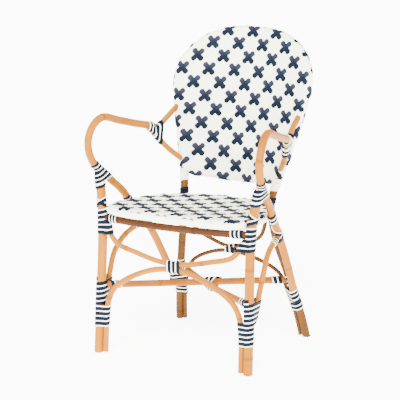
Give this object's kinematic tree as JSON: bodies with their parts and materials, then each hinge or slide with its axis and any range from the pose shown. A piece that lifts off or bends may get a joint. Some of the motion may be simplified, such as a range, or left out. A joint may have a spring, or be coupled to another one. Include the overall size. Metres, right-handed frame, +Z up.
{
  "type": "bistro armchair",
  "caption": "Stacking bistro armchair of bent rattan poles with bound joints, looped arms, a rounded hoop back and a woven seat and back.",
  "frame": {"origin": "on the floor under the middle of the chair's bounding box", "axes": "+Z up, -Y the way the sitter faces, +X the sitter's left"},
  "size_m": [0.5908, 0.5702, 0.9372],
  "materials": {
    "rattan_pole": "varnished warm honey-brown rattan cane with darker growth rings and nodes",
    "white_weave": "close weave of flat off-white strand with navy crosses",
    "navy_strand": "flat navy strand laid side by side with white strand, satin",
    "white_strand": "flat off-white strand, satin",
    "glide_plastic": "moulded dark grey, matt"
  },
  "bodies": {
    "root": {"front_leg_left": "rattan_pole", "front_leg_right": "rattan_pole", "arm_pole_left": "rattan_pole", "arm_pole_right": "rattan_pole", "arm_bracket_left": "rattan_pole", "arm_bracket_right": "rattan_pole", "side_brace_left": "rattan_pole", "side_brace_right": "rattan_pole", "back_hoop": "rattan_pole", "front_rail": "rattan_pole", "front_upper_arch": "rattan_pole", "front_lower_arch": "rattan_pole", "rear_upper_arch": "rattan_pole", "rear_lower_arch": "rattan_pole", "straight_stretcher": "rattan_pole", "sprung_stretcher": "rattan_pole", "back_bar": "rattan_pole", "seat_hoop": "rattan_pole", "seat_weave": "white_weave", "back_weave": "white_weave", "front_foot_binding_left": "navy_strand", "front_foot_binding_right": "navy_strand", "front_upper_binding_left": "navy_strand", "front_upper_binding_right": "navy_strand", "rear_foot_binding_left": "navy_strand", "rear_foot_binding_right": "navy_strand", "arm_front_binding_left": "navy_strand", "arm_front_binding_right": "navy_strand", "arm_rear_binding_left": "navy_strand", "arm_rear_binding_right": "navy_strand", "arch_tie": "navy_strand", "rail_end_binding_left": "white_strand", "rail_end_binding_right": "white_strand", "brace_top_binding_left": "navy_strand", "brace_top_binding_right": "navy_strand", "upright_wrap_left": "white_strand", "upright_wrap_right": "white_strand", "rear_corner_band_left": "navy_strand", "rear_corner_band_right": "navy_strand", "front_corner_strap_left": "navy_strand", "front_corner_strap_right": "navy_strand", "seat_side_strap_left": "navy_strand", "seat_side_strap_right": "navy_strand", "stretcher_binding_front_left": "navy_strand", "stretcher_binding_front_right": "navy_strand", "stretcher_binding_rear_left": "navy_strand", "stretcher_binding_rear_right": "navy_strand", "rear_arch_tie": "navy_strand", "stretcher_tie": "navy_strand", "front_glide_left": "glide_plastic", "front_glide_right": "glide_plastic", "rear_glide_left": "glide_plastic", "rear_glide_right": "glide_plastic"}
  },
  "joints": []
}
